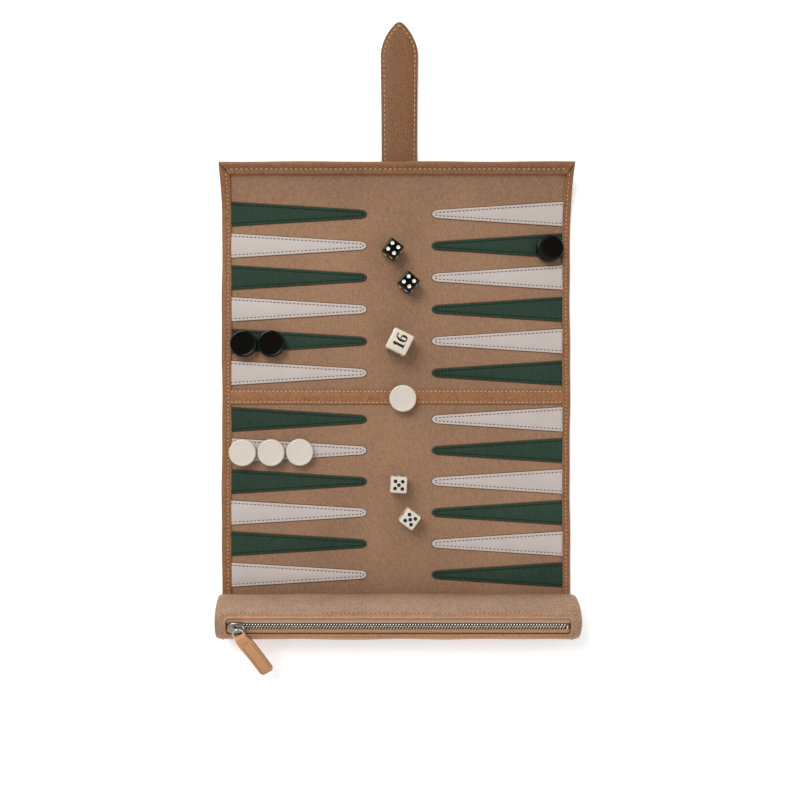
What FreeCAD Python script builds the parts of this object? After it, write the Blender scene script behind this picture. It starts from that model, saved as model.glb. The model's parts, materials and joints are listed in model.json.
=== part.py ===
import FreeCAD, Part
import math
import os

# Roll-up travel backgammon set, lying open. Millimetres, +Z up.
# Origin: centre of the middle bar, on the underside of the mat. +X right, +Y towards the closing strap.

# ---- driving sizes -------------------------------------------------------------------------------
MAT_HALF_WIDTH = 130.0
COVER = 1.2                 # outer leather
SUEDE = 1.0                 # playing surface
TRIM = 0.8                  # sewn-on points and the turned edge of the cover
BINDING = 6.0               # width of the turned edge at the sides
TOP_BINDING = 10.0          # width of the turned edge along the curled end
TUCK = 5.0                  # how far the suede runs under the turned edge

POINT_BASE = 18.3
POINT_TIP_RADIUS = 3.0
LEFT_TIP_X = -22.0
RIGHT_TIP_X = 27.0
ROWS = 12
ROWS_PER_HALF = 6
FIRST_ROW_ABOVE = 17.7      # bar centre to the nearest row centre, on each side of the bar
FIRST_ROW_BELOW = 16.9
PITCH_ABOVE = 23.75
PITCH_BELOW = 23.2
FOLD_MARGIN = 1.3           # fold line to the base of the point below it
BAR_FOLD_Y = 8.4
BAR_HALF_HEIGHT = 5.5
BAR_THICK = 1.0

CURL_RADIUS = 96.0          # the strap end of the mat curls up along this radius
CURL_LENGTH = 51.5

STRAP_X = 2.6
STRAP_WIDTH = 26.6
STRAP_HEAD_WIDTH = 28.2
STRAP_THICK = 2.4
STRAP_ROOT_Y = 146.0
STRAP_FOLD_1_Y = 176.0
STRAP_FOLD_2_Y = 226.0
STRAP_SHOULDER_Y = 256.0
STRAP_END_Y = 280.5
STRAP_TIP_FLAT = 9.0
FOLD_GAP = 0.1              # clearance between neighbouring strap lengths

POUCH_FOLD_Y = -144.6
POUCH_CENTRE_Y = -160.4
POUCH_CENTRE_Z = 13.8
POUCH_HALF_DEPTH = 16.0
POUCH_HALF_HEIGHT = 14.2
POUCH_WALL = 1.4
SEAM_DEPTH = 12.0
ZIP_OFFSET = -3.2           # zip centre line from the middle of the pouch
ZIP_TILT = 12.0             # degrees towards the front
ZIP_TOP_Z = 27.6
WINDOW_HALF_LENGTH = 123.0
WINDOW_HALF_WIDTH = 5.0
WINDOW_CORNER = 2.5
TAPE_THICK = 0.8
TAPE_DROP = 1.3
TEETH_WIDTH = 4.2
TEETH_THICK = 1.4
TEETH_HALF_LENGTH = 119.5
SLIDER_X = -115.0
SLIDER_LENGTH = 12.0
SLIDER_WIDTH = 7.6
SLIDER_THICK = 3.4
SLIDER_CLEARANCE = 0.05
BRIDGE_RADIUS = 2.7
BRIDGE_EYE = 1.8
BRIDGE_WIDTH = 0.9
BRIDGE_RISE = 1.4           # bridge centre above the slider's top
RING_RISE = 2.1             # where the ring's wire passes, above the slider's top
RING_RADIUS = 3.6
RING_WIRE = 0.6
TAB_GAP = 0.15              # tab to ring
TAB_LENGTH = 35.0
TAB_WIDTH = 9.5
TAB_THICK = 1.6
TAB_CORNER = 1.2
TAB_HEADING = -60.5         # degrees from +X, seen from above
TAB_DROP = 22.0             # degrees below level

CHECKER_RADIUS = 10.0
CHECKER_THICK = 5.5
CHECKER_BEVEL = 0.7
DIE_SIZE = 12.0
DIE_ROUND = 1.3
CUBE_SIZE = 16.0
CUBE_ROUND = 1.6
STORED_PITCH = 5.7
STORED_BLACK = 12
STORED_WHITE = 11
STORED_START_X = 127.0
STORED_Z = 12.9

# ---- where the loose pieces lie: x, y, turn about Z in degrees -------------------------------------
BLACK_CHECKERS = [(-113.2, 39.3), (-92.6, 39.3), (113.9, 109.9)]
WHITE_CHECKERS = [(-113.9, -41.4), (-92.7, -41.4), (-71.5, -41.1), (4.8, -1.2)]
BLACK_DICE = [(-2.8, 108.6, -36.5), (8.7, 84.3, -41.5)]
WHITE_DICE = [(1.4, -64.5, -3.5), (9.7, -89.7, -36.0)]
CUBE_PLACE = (1.9, 40.0, -26.5)

# ---- worked-out levels -----------------------------------------------------------------------------
SUEDE_TOP = COVER + SUEDE
TRIM_TOP = SUEDE_TOP + TRIM
BAR_TOP = SUEDE_TOP + BAR_THICK
POINT_BASE_X = MAT_HALF_WIDTH - BINDING
SLIDER_TOP = -TAPE_DROP + SLIDER_CLEARANCE + SLIDER_THICK
CURL_START_Y = FIRST_ROW_ABOVE + PITCH_ABOVE * 4 + POINT_BASE / 2 + FOLD_MARGIN
X_AXIS = FreeCAD.Vector(1, 0, 0)
Y_AXIS = FreeCAD.Vector(0, 1, 0)
Z_AXIS = FreeCAD.Vector(0, 0, 1)


def vec(x, y, z):
    return FreeCAD.Vector(x, y, z)


def box(x0, x1, y0, y1, z0, z1):
    """A box between two corners."""
    return Part.makeBox(x1 - x0, y1 - y0, z1 - z0, vec(x0, y0, z0))


def upright_edges(solid):
    """The edges that run along Z."""
    return [edge for edge in solid.Edges if abs(edge.tangentAt(edge.FirstParameter).z) > 0.9]


def save(name, *solids):
    """Write one node; several solids become one compound."""
    shape = solids[0] if len(solids) == 1 else Part.makeCompound(list(solids))
    shape.exportStep("parts/" + name + ".step")


# ---- mat: rows and folds ---------------------------------------------------------------------------
def row_centre(row):
    """Centre line of a row of points; row 1 is next to the strap, row 12 next to the pouch."""
    if row <= ROWS_PER_HALF:
        return FIRST_ROW_ABOVE + PITCH_ABOVE * (ROWS_PER_HALF - row)
    return -FIRST_ROW_BELOW - PITCH_BELOW * (row - ROWS_PER_HALF - 1)


def fold_below(row):
    """Y of the fold between a row and the next one towards the pouch."""
    if row == ROWS:
        return POUCH_FOLD_Y
    if row == ROWS_PER_HALF:
        return BAR_FOLD_Y
    return row_centre(row + 1) + POINT_BASE / 2 + FOLD_MARGIN


def flat_row(row):
    """Cover with its two turned side edges, and the suede that runs under them."""
    y0 = fold_below(row)
    y1 = fold_below(row - 1)
    half = MAT_HALF_WIDTH
    cover = box(-half, half, y0, y1, 0, TRIM_TOP)
    inner = half - BINDING
    tuck = inner + TUCK
    cover = cover.cut(box(-inner, inner, y0, y1, SUEDE_TOP, TRIM_TOP))
    suede = box(-tuck, tuck, y0, y1, COVER, SUEDE_TOP)
    return [cover.cut(suede), suede]


def curl_band(x0, x1, low, high, start, end):
    """A bent strip: low and high are heights above the underside, start and end are lengths along it."""
    outer = CURL_RADIUS - low
    inner = CURL_RADIUS - high
    axis_at = vec(x0, CURL_START_Y, CURL_RADIUS)

    def at(radius, length):
        angle = length / CURL_RADIUS
        return axis_at + vec(0, radius * math.sin(angle), -radius * math.cos(angle))

    middle = (start + end) / 2
    edges = [Part.Arc(at(outer, start), at(outer, middle), at(outer, end)).toShape(),
             Part.makeLine(at(outer, end), at(inner, end)),
             Part.Arc(at(inner, end), at(inner, middle), at(inner, start)).toShape(),
             Part.makeLine(at(inner, start), at(outer, start))]
    return Part.Face(Part.Wire(edges)).extrude(vec(x1 - x0, 0, 0))


def curled_row():
    """The end row: the same layers bent upwards, with the edge turned over on three sides."""
    half = MAT_HALF_WIDTH
    inner = half - BINDING
    tuck = inner + TUCK
    lip = CURL_LENGTH - TOP_BINDING
    cover = curl_band(-half, half, 0, TRIM_TOP, 0, CURL_LENGTH)
    cover = cover.cut(curl_band(-inner, inner, SUEDE_TOP, TRIM_TOP, 0, lip))
    suede = curl_band(-tuck, tuck, COVER, SUEDE_TOP, 0, lip + TUCK)
    return [cover.cut(suede), suede]


def point_outline(base_x, tip_x, centre_y, z):
    """A long triangle with a rounded tip, as a face seen from above."""
    side = 1 if tip_x > base_x else -1
    half = POINT_BASE / 2
    reach = abs(tip_x - base_x) - POINT_TIP_RADIUS
    span = math.hypot(reach, half)
    run = math.sqrt(span ** 2 - POINT_TIP_RADIUS ** 2)
    slope = math.asin(POINT_TIP_RADIUS / span) - math.atan2(half, reach)
    touch_x = base_x + side * run * math.cos(slope)
    touch_y = half + run * math.sin(slope)
    corner_a = vec(base_x, centre_y + half, z)
    corner_b = vec(base_x, centre_y - half, z)
    touch_a = vec(touch_x, centre_y + touch_y, z)
    touch_b = vec(touch_x, centre_y - touch_y, z)
    edges = [Part.makeLine(corner_b, corner_a), Part.makeLine(corner_a, touch_a),
             Part.Arc(touch_a, vec(tip_x, centre_y, z), touch_b).toShape(),
             Part.makeLine(touch_b, corner_b)]
    return Part.Face(Part.Wire(edges))


def point(row, side):
    """One sewn-on point; side -1 is the left column, 1 the right."""
    base_x = side * POINT_BASE_X
    tip_x = LEFT_TIP_X if side < 0 else RIGHT_TIP_X
    if row > 1:
        return point_outline(base_x, tip_x, row_centre(row), SUEDE_TOP).extrude(vec(0, 0, TRIM))
    prism = point_outline(base_x, tip_x, row_centre(row), 0).extrude(vec(0, 0, CURL_RADIUS / 2))
    band = curl_band(-POINT_BASE_X, POINT_BASE_X, SUEDE_TOP, TRIM_TOP, 0, CURL_LENGTH)
    return prism.common(band).Solids[0]


def green_side(row):
    """Colours alternate down each column and are opposite across the board."""
    return -1 if row % 2 == 1 else 1


def mat():
    save("mat_row_01", *curled_row())
    for row in range(2, ROWS + 1):
        save("mat_row_%02d" % row, *flat_row(row))
    for row in range(1, ROWS + 1):
        save("green_point_%02d" % row, point(row, green_side(row)))
        save("white_point_%02d" % row, point(row, -green_side(row)))
    inner = MAT_HALF_WIDTH - BINDING
    save("bar_strip", box(-inner, inner, -BAR_HALF_HEIGHT, BAR_HALF_HEIGHT, SUEDE_TOP, BAR_TOP))


# ---- strap -----------------------------------------------------------------------------------------
def strap():
    half = STRAP_WIDTH / 2
    left = STRAP_X - half
    right = STRAP_X + half
    save("strap_base", box(left, right, STRAP_ROOT_Y, STRAP_FOLD_1_Y - FOLD_GAP, 0, STRAP_THICK))
    save("strap_middle", box(left, right, STRAP_FOLD_1_Y, STRAP_FOLD_2_Y - FOLD_GAP, 0, STRAP_THICK))
    head = STRAP_HEAD_WIDTH / 2
    shoulder_left = vec(STRAP_X - head, STRAP_SHOULDER_Y, 0)
    shoulder_right = vec(STRAP_X + head, STRAP_SHOULDER_Y, 0)
    end_left = vec(STRAP_X - STRAP_TIP_FLAT / 2, STRAP_END_Y - 1.5, 0)
    end_right = vec(STRAP_X + STRAP_TIP_FLAT / 2, STRAP_END_Y - 1.5, 0)
    bulge_y = (STRAP_SHOULDER_Y + STRAP_END_Y) / 2
    bulge_x = head * 0.72
    root_left = vec(left, STRAP_FOLD_2_Y, 0)
    root_right = vec(right, STRAP_FOLD_2_Y, 0)
    edges = [Part.makeLine(root_right, root_left), Part.makeLine(root_left, shoulder_left),
             Part.Arc(shoulder_left, vec(STRAP_X - bulge_x, bulge_y, 0), end_left).toShape(),
             Part.Arc(end_left, vec(STRAP_X, STRAP_END_Y, 0), end_right).toShape(),
             Part.Arc(end_right, vec(STRAP_X + bulge_x, bulge_y, 0), shoulder_right).toShape(),
             Part.makeLine(shoulder_right, root_right)]
    save("strap_tip", Part.Face(Part.Wire(edges)).extrude(vec(0, 0, STRAP_THICK)))


# ---- zip pouch -------------------------------------------------------------------------------------
def pouch_tube(half_length, inset):
    """Oval tube with a flat bottom; inset shrinks it all round."""
    depth = POUCH_HALF_DEPTH - inset
    height = POUCH_HALF_HEIGHT - inset
    centre = vec(-half_length, POUCH_CENTRE_Y, POUCH_CENTRE_Z)
    oval = Part.Ellipse(centre + vec(0, depth, 0), centre + vec(0, 0, height), centre).toShape()
    tube = Part.Face(Part.Wire(oval)).extrude(vec(2 * half_length, 0, 0))
    far = POUCH_CENTRE_Y + POUCH_HALF_DEPTH * 2
    return tube.cut(box(-half_length, half_length, -far + 4 * POUCH_CENTRE_Y, far, -POUCH_HALF_HEIGHT, inset))


def in_zip_frame(shape):
    """Move a shape from the zip's own frame (x along the zip, z out of the pouch) into place."""
    shape.rotate(vec(0, 0, 0), X_AXIS, ZIP_TILT)
    shape.translate(vec(0, POUCH_CENTRE_Y + ZIP_OFFSET, ZIP_TOP_Z))
    return shape


def window_prism(z0, z1):
    """The zip window's outline with round corners, as a prism in the zip's own frame."""
    prism = box(-WINDOW_HALF_LENGTH, WINDOW_HALF_LENGTH, -WINDOW_HALF_WIDTH, WINDOW_HALF_WIDTH, z0, z1)
    return prism.makeFillet(WINDOW_CORNER, upright_edges(prism))


def pouch_shell():
    outer = pouch_tube(MAT_HALF_WIDTH, 0)
    seam = box(-MAT_HALF_WIDTH, MAT_HALF_WIDTH, POUCH_FOLD_Y - SEAM_DEPTH, POUCH_FOLD_Y, 0, TRIM_TOP)
    shell = outer.fuse(seam)
    shell = shell.cut(pouch_tube(MAT_HALF_WIDTH - POUCH_WALL, POUCH_WALL))
    shell = shell.cut(in_zip_frame(window_prism(-4.0, 6.0)))
    return shell.removeSplitter()


def zip_parts():
    """Tape across the window, the row of closed teeth, the slider, its ring and the leather pull."""
    tape = in_zip_frame(window_prism(-TAPE_DROP - TAPE_THICK, -TAPE_DROP))
    half = TEETH_WIDTH / 2
    teeth = box(-TEETH_HALF_LENGTH, TEETH_HALF_LENGTH, -half, half, -TAPE_DROP, -TAPE_DROP + TEETH_THICK)
    save("zip_tape", tape)
    save("zip_teeth", in_zip_frame(teeth))


def slider():
    """A rounded block that straddles the teeth, with a bridge for the ring."""
    x0 = SLIDER_X - SLIDER_LENGTH / 2
    x1 = SLIDER_X + SLIDER_LENGTH / 2
    half = SLIDER_WIDTH / 2
    floor = SLIDER_TOP - SLIDER_THICK
    body = box(x0, x1, -half, half, floor, SLIDER_TOP)
    body = body.makeFillet(half * 0.6, upright_edges(body))
    groove_half = TEETH_WIDTH / 2 + SLIDER_CLEARANCE
    groove_top = -TAPE_DROP + TEETH_THICK + SLIDER_CLEARANCE
    body = body.cut(box(x0, x1, -groove_half, groove_half, floor, groove_top))
    start = vec(SLIDER_X, -BRIDGE_WIDTH / 2, SLIDER_TOP + BRIDGE_RISE)
    bridge = Part.makeCylinder(BRIDGE_RADIUS, BRIDGE_WIDTH, start, Y_AXIS)
    eye = Part.makeCylinder(BRIDGE_EYE, BRIDGE_WIDTH, start, Y_AXIS)
    above = box(x0, x1, -half, half, SLIDER_TOP, SLIDER_TOP + 2 * BRIDGE_RADIUS)
    bridge = bridge.common(above).cut(eye)
    bridge.rotate(vec(SLIDER_X, 0, 0), Z_AXIS, TAB_HEADING / 2)
    save("zip_slider", in_zip_frame(body.fuse(bridge).removeSplitter()))


def zip_point(x, y, z):
    """A point of the zip's own frame in the row's frame."""
    return in_zip_frame(Part.Vertex(x, y, z)).Point


def pull():
    """Ring through the slider's bridge, and a stitched leather tab that hangs over the front."""
    heading = math.radians(TAB_HEADING)
    drop = math.radians(TAB_DROP)
    along = vec(math.cos(heading) * math.cos(drop), math.sin(heading) * math.cos(drop), -math.sin(drop))
    across = vec(-math.sin(heading), math.cos(heading), 0)
    normal = along.cross(across)
    ring_centre = zip_point(SLIDER_X, 0, SLIDER_TOP + RING_RISE) + along * RING_RADIUS
    save("pull_ring", Part.makeTorus(RING_RADIUS, RING_WIRE, ring_centre, normal))
    half = TAB_WIDTH / 2
    plate = box(0, TAB_LENGTH, -half, half, -TAB_THICK / 2, TAB_THICK / 2)
    plate = plate.makeFillet(TAB_CORNER, upright_edges(plate))
    start = ring_centre + along * (RING_RADIUS + RING_WIRE + TAB_GAP)
    plate.Placement = FreeCAD.Placement(start, FreeCAD.Rotation(along, across, normal, "XYZ"))
    save("pull_tab", plate)


# ---- game pieces -----------------------------------------------------------------------------------
def checker(x, y, z):
    """A disc with bevelled rims and a shallow dish in each face, lying flat."""
    disc = Part.makeCylinder(CHECKER_RADIUS, CHECKER_THICK, vec(x, y, z))
    rims = [edge for edge in disc.Edges if isinstance(edge.Curve, Part.Circle)]
    return disc.makeChamfer(CHECKER_BEVEL, rims)


def cube(size, rounding, x, y, z, turn):
    """A cube with rounded edges, turned about its upright axis."""
    block = Part.makeBox(size, size, size, vec(-size / 2, -size / 2, 0))
    block = block.makeFillet(rounding, block.Edges)
    block.rotate(vec(0, 0, 0), Z_AXIS, turn)
    block.translate(vec(x, y, z))
    return block


def game_pieces():
    for index, (x, y) in enumerate(BLACK_CHECKERS, 1):
        save("black_checker_%d" % index, checker(x, y, TRIM_TOP))
    for index, (x, y) in enumerate(WHITE_CHECKERS, 1):
        on_bar = abs(y) < BAR_HALF_HEIGHT
        save("white_checker_%d" % index, checker(x, y, BAR_TOP if on_bar else TRIM_TOP))
    for index, (x, y, turn) in enumerate(BLACK_DICE, 1):
        save("black_die_%d" % index, cube(DIE_SIZE, DIE_ROUND, x, y, SUEDE_TOP, turn))
    for index, (x, y, turn) in enumerate(WHITE_DICE, 1):
        save("white_die_%d" % index, cube(DIE_SIZE, DIE_ROUND, x, y, SUEDE_TOP, turn))
    x, y, turn = CUBE_PLACE
    save("doubling_cube", cube(CUBE_SIZE, CUBE_ROUND, x, y, SUEDE_TOP, turn))


def stored_stack(name, count, start_x):
    """Checkers kept in the pouch, standing on edge in one row along it."""
    solids = []
    for index in range(count):
        disc = checker(0, 0, 0)
        disc.rotate(vec(0, 0, 0), Y_AXIS, -90)
        disc.translate(vec(start_x - index * STORED_PITCH, POUCH_CENTRE_Y, STORED_Z))
        solids.append(disc)
    save(name, *solids)


os.makedirs("parts", exist_ok=True)
mat()
strap()
save("pouch_shell", pouch_shell())
zip_parts()
slider()
pull()
game_pieces()
stored_stack("stored_black_checkers", STORED_BLACK, STORED_START_X)
stored_stack("stored_white_checkers", STORED_WHITE, STORED_START_X - STORED_BLACK * STORED_PITCH)
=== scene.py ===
import json
import math

import bmesh
import bpy
import numpy as np
from mathutils import Matrix, Vector, noise


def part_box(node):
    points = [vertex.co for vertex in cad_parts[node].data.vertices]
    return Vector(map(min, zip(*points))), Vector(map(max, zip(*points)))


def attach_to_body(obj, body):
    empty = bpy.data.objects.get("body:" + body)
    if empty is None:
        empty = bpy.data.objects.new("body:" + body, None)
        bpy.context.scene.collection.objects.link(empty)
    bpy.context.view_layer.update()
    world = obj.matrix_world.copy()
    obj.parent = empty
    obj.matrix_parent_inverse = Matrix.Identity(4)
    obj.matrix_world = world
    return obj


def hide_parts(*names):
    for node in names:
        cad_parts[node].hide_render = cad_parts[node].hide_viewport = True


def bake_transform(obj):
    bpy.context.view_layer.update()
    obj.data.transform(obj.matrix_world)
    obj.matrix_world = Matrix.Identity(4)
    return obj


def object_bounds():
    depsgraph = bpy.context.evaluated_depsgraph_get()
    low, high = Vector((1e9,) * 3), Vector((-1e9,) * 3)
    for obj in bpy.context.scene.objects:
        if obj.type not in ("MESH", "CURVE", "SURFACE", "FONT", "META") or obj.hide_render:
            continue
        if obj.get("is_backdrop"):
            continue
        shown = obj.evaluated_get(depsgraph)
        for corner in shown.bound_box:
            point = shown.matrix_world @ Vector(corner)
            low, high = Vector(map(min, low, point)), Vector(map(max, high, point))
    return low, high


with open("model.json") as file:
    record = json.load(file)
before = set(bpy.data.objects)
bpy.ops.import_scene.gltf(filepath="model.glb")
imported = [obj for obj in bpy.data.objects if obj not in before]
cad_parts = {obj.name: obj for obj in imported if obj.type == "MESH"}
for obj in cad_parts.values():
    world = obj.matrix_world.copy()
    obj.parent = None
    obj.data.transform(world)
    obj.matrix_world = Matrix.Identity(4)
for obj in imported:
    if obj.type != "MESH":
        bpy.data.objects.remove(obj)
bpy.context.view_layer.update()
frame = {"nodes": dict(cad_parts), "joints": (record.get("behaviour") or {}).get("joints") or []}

MM = 0.001
JOINTS = {j["name"]: j for j in frame["joints"]}
UP = Vector((0, 0, 1))
ROWS = 12

# ---- sizes that the frame doesn't state, in metres ---------------------------------------------
SUEDE_TOP = 2.2 * MM
BINDING = {-1: 7.4 * MM, 1: 6.0 * MM}  # the turned edge is wider on the left
TOP_BINDING = 9.3 * MM
SEAM_INSET = 2.6 * MM  # stitches to the turned edge's inner side
CURL_RADIUS = 96.0 * MM
POINT_HALF_BASE = 9.15 * MM
POINT_TIP_RADIUS = 3.0 * MM
TIP_STRETCH = 2.8 * MM  # the tips are longer than half circles
POINT_REACH = 0.6 * MM  # how far a point's base runs under the turned edge
STITCH_INSET = 1.9 * MM
STITCH_PITCH = 3.1 * MM
SIDE_STITCH = (0.34, 0.62 * MM, 0.45 * MM, 2.9 * MM)  # gap share, width, height, pitch
TOP_STITCH = (0.3, 0.66 * MM, 0.5 * MM, 3.6 * MM)
STRAP_STITCH = (0.3, 0.5 * MM, 0.36 * MM, 3.7 * MM)
TAB_STITCH = (0.4, 0.75 * MM, 0.45 * MM, 2.3 * MM)
POUCH_STITCH = (0.4, 0.6 * MM, 0.4 * MM, STITCH_PITCH)
BAR_STITCH = (0.34, 0.55 * MM, 0.34 * MM, STITCH_PITCH)
POINT_STITCH = {"green": (0.42, 0.95 * MM, 0.42 * MM, 2.4 * MM),
                "white": (0.5, 0.7 * MM, 0.42 * MM, 2.9 * MM)}
SUEDE_EDGE = 4.5 * MM  # how far the lining's edge lies inside the mat's
POUCH_TUCK = 11.5 * MM  # how far the mat runs on under the pouch
ZIP_TILT = math.radians(12.0)
ZIP_OFFSET = -3.2 * MM
ZIP_TOP = 27.6 * MM
WINDOW = (123.0 * MM, 6.3 * MM, 2.5 * MM)  # half length, half width, corner radius
STRAP_SOFT = 12.0 * MM

MAT_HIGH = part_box("mat_row_01")[1]
HALF_WIDTH = MAT_HIGH.x
CURL_START = JOINTS["fold_01"]["pos_m"][1]
CURL_LENGTH = CURL_RADIUS * math.asin((MAT_HIGH.y - CURL_START) / CURL_RADIUS)
POUCH_LOW, POUCH_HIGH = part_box("pouch_shell")
POUCH_FOLD = JOINTS["fold_pouch"]["pos_m"][1]
POUCH_HALF_DEPTH = 16.0 * MM
POUCH_CENTRE = Vector((0, POUCH_LOW.y + POUCH_HALF_DEPTH, 13.8 * MM))
POUCH_HALF_HEIGHT = POUCH_HIGH.z - POUCH_CENTRE.z
ZIP_Y = POUCH_CENTRE.y + ZIP_OFFSET


# ---- camera ------------------------------------------------------------------------------------
CAMERA_PLACE = (-0.0343, 0.0013, 0.520)
CAMERA_LENS = 31.2
CAMERA_SHIFT = (0.0625, -0.00625)


def make_camera():
    """Looks straight down from 52 cm; the set lies a little right of the point below the camera."""
    data = bpy.data.cameras.new("camera")
    data.lens = CAMERA_LENS
    data.sensor_width = 36.0
    data.shift_x, data.shift_y = CAMERA_SHIFT
    camera = bpy.data.objects.new("camera", data)
    bpy.context.scene.collection.objects.link(camera)
    camera.location = CAMERA_PLACE
    bpy.context.scene.camera = camera


make_camera()


# ---- mesh helpers ------------------------------------------------------------------------------
def new_object(name, vertices, faces, materials, face_materials=None, smooth=True):
    mesh = bpy.data.meshes.new(name)
    mesh.from_pydata([tuple(v) for v in vertices], [], [tuple(f) for f in faces])
    for material in materials:
        mesh.materials.append(material)
    if face_materials is not None:
        mesh.polygons.foreach_set("material_index", np.array(face_materials, np.int32))
    mesh.polygons.foreach_set("use_smooth", np.full(len(faces), smooth))
    mesh.update()
    obj = bpy.data.objects.new(name, mesh)
    bpy.context.scene.collection.objects.link(obj)
    return obj


class Builder:
    """Collects vertices and faces of one piece, with a material number for each face."""

    def __init__(self):
        self.vertices = []
        self.faces = []
        self.kinds = []

    def add(self, vertices, faces, kind=0):
        start = len(self.vertices)
        self.vertices.extend(vertices)
        self.faces.extend([tuple(start + i for i in face) for face in faces])
        self.kinds.extend([kind] * len(faces))

    def loft(self, rings, kind=0, closed=True, caps=True):
        """Joins rings of equal length; each ring is a loop of points."""
        count = len(rings[0])
        vertices = [p for ring in rings for p in ring]
        faces = []
        last = count if closed else count - 1
        for i in range(len(rings) - 1):
            for j in range(last):
                k = (j + 1) % count
                faces.append((i * count + j, i * count + k, (i + 1) * count + k, (i + 1) * count + j))
        if caps:
            faces.append(tuple(range(count))[::-1])
            end = (len(rings) - 1) * count
            faces.append(tuple(range(end, end + count)))
        self.add(vertices, faces, kind)

    def object(self, name, *materials, crisp=55.0):
        obj = new_object(name, self.vertices, self.faces, materials, self.kinds)
        fix_normals(obj)
        return sharpen(obj, crisp)


def edit_mesh(obj, change):
    """Runs change(work) on a bmesh copy of an object's mesh and stores the result."""
    work = bmesh.new()
    work.from_mesh(obj.data)
    change(work)
    work.to_mesh(obj.data)
    work.free()


def fix_normals(obj):
    """Outward normals on every closed shell."""
    edit_mesh(obj, lambda work: bmesh.ops.recalc_face_normals(work, faces=work.faces))


def sharpen(obj, degrees=35.0):
    """Smooth shading with crisp edges above an angle."""
    def mark(work):
        for edge in work.edges:
            edge.smooth = not (edge.is_manifold and edge.calc_face_angle(0.0) > math.radians(degrees))
    edit_mesh(obj, mark)
    return obj


def weld(obj):
    """Joins doubled vertices so that each shell is closed."""
    def join(work):
        bmesh.ops.remove_doubles(work, verts=work.verts, dist=0.002 * MM)
        bmesh.ops.recalc_face_normals(work, faces=work.faces)
    edit_mesh(obj, join)


def carve(obj, cutters, **settings):
    """Subtracts the cutters from an object, applies the result and deletes the cutters."""
    for cutter in cutters:
        cut = obj.modifiers.new("cut", "BOOLEAN")
        cut.operation = "DIFFERENCE"
        cut.solver = "EXACT"
        cut.object = cutter
        for key, value in settings.items():
            setattr(cut, key, value)
    apply_modifiers(obj)
    for cutter in cutters:
        bpy.data.objects.remove(cutter)


def attach(piece, body, node):
    """Rides on a body and stands for a CAD node, which it hides."""
    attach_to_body(piece, body)
    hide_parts(node)


def apply_modifiers(obj):
    graph = bpy.context.evaluated_depsgraph_get()
    mesh = bpy.data.meshes.new_from_object(obj.evaluated_get(graph))
    obj.modifiers.clear()
    obj.data = mesh


def add_bead(builder, stations, across, up, widths, steps, kind):
    """A closed bead through stations of (centre, grow), each an oval section."""
    rings = []
    for centre, grow in stations:
        ring = []
        for k in range(steps):
            angle = math.tau * k / steps
            ring.append(centre + across * (widths[0] * grow * math.cos(angle))
                        + up * (widths[1] * grow * math.sin(angle)))
        rings.append(ring)
    builder.loft(rings, kind)


STITCH_SHAPE = ((0.0, 0.35, -0.35), (0.18, 0.85, 0.25), (0.5, 1.0, 0.6), (0.82, 0.85, 0.25),
                (1.0, 0.35, -0.35))  # place, thickness, lift


def add_stitch(builder, start, end, up, width, height, kind=1):
    """One thread stitch: a short bulging bead between two holes."""
    along = end - start
    stations = [(start + along * t + up * (height * lift), grow) for t, grow, lift in STITCH_SHAPE]
    add_bead(builder, stations, along.cross(up).normalized(), up, (width / 2, height / 2), 6, kind)


def add_hole(builder, centre, along, up, size, kind=2):
    """The needle hole between two stitches, as a small sunken bead in a darker colour: painted shade in the
    hole.
    """
    along = along.normalized()
    stations = [(centre + along * (t * size * 0.75), grow) for t, grow in
                ((-1.0, 0.3), (-0.45, 1.0), (0.45, 1.0), (1.0, 0.3))]
    add_bead(builder, stations, along.cross(up).normalized(), up, (0.42 * size, 0.22 * size), 6, kind)


def stitch_line(builder, place, length, gap, width, height, pitch):
    """Stitches along a line; place(distance) gives a point and the surface's upward direction."""
    count = max(1, round(length / pitch))
    step = length / count
    for i in range(count):
        start, up = place(step * (i + gap / 2))
        end, _ = place(step * (i + 1 - gap / 2))
        add_stitch(builder, start, end, up, width, height)
        if i:
            hole, hole_up = place(step * i)
            add_hole(builder, hole - hole_up * 0.02 * MM, end - start, hole_up, width * 0.85)


class Route:
    """A line of points that is read by the distance along it."""

    def __init__(self, points):
        self.points = points
        self.marks = np.cumsum([0.0] + [(b - a).length for a, b in zip(points, points[1:])])
        self.length = self.marks[-1]

    def at(self, distance):
        i = min(len(self.points) - 2, max(0, int(np.searchsorted(self.marks, distance)) - 1))
        t = (distance - self.marks[i]) / max(1e-9, self.marks[i + 1] - self.marks[i])
        return self.points[i].lerp(self.points[i + 1], t)


# ---- the mat's surface -------------------------------------------------------------------------
def on_mat(x, y, height):
    """A point of the mat: y is measured along the sheet, height is above its underside."""
    past = y - CURL_START
    if past <= 0:
        return Vector((x, y, height))
    angle = past / CURL_RADIUS
    radius = CURL_RADIUS - height
    return Vector((x, CURL_START + radius * math.sin(angle), CURL_RADIUS - radius * math.cos(angle)))


def mat_up(y):
    past = max(0.0, y - CURL_START) / CURL_RADIUS
    return Vector((0, -math.sin(past), math.cos(past)))


def edge_wobble(y, side):
    """The cut edge of hand-finished leather isn't quite straight."""
    return 0.22 * MM * math.sin(y * 47.0 + side) + 0.12 * MM * math.sin(y * 131.0 + 2.1 * side)


MAT_END = CURL_START + CURL_LENGTH
FOLDS = [JOINTS["fold_%02d" % i]["pos_m"][1] for i in range(1, ROWS)] + [POUCH_FOLD]
ROW_CENTRES = []
for row in range(1, ROWS + 1):
    low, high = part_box("green_point_%02d" % row)
    ROW_CENTRES.append((low.y + high.y) / 2)
ROW_CENTRES[0] = 2 * ROW_CENTRES[1] - ROW_CENTRES[2]  # along the sheet, since row 1 lies on the curl


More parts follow.
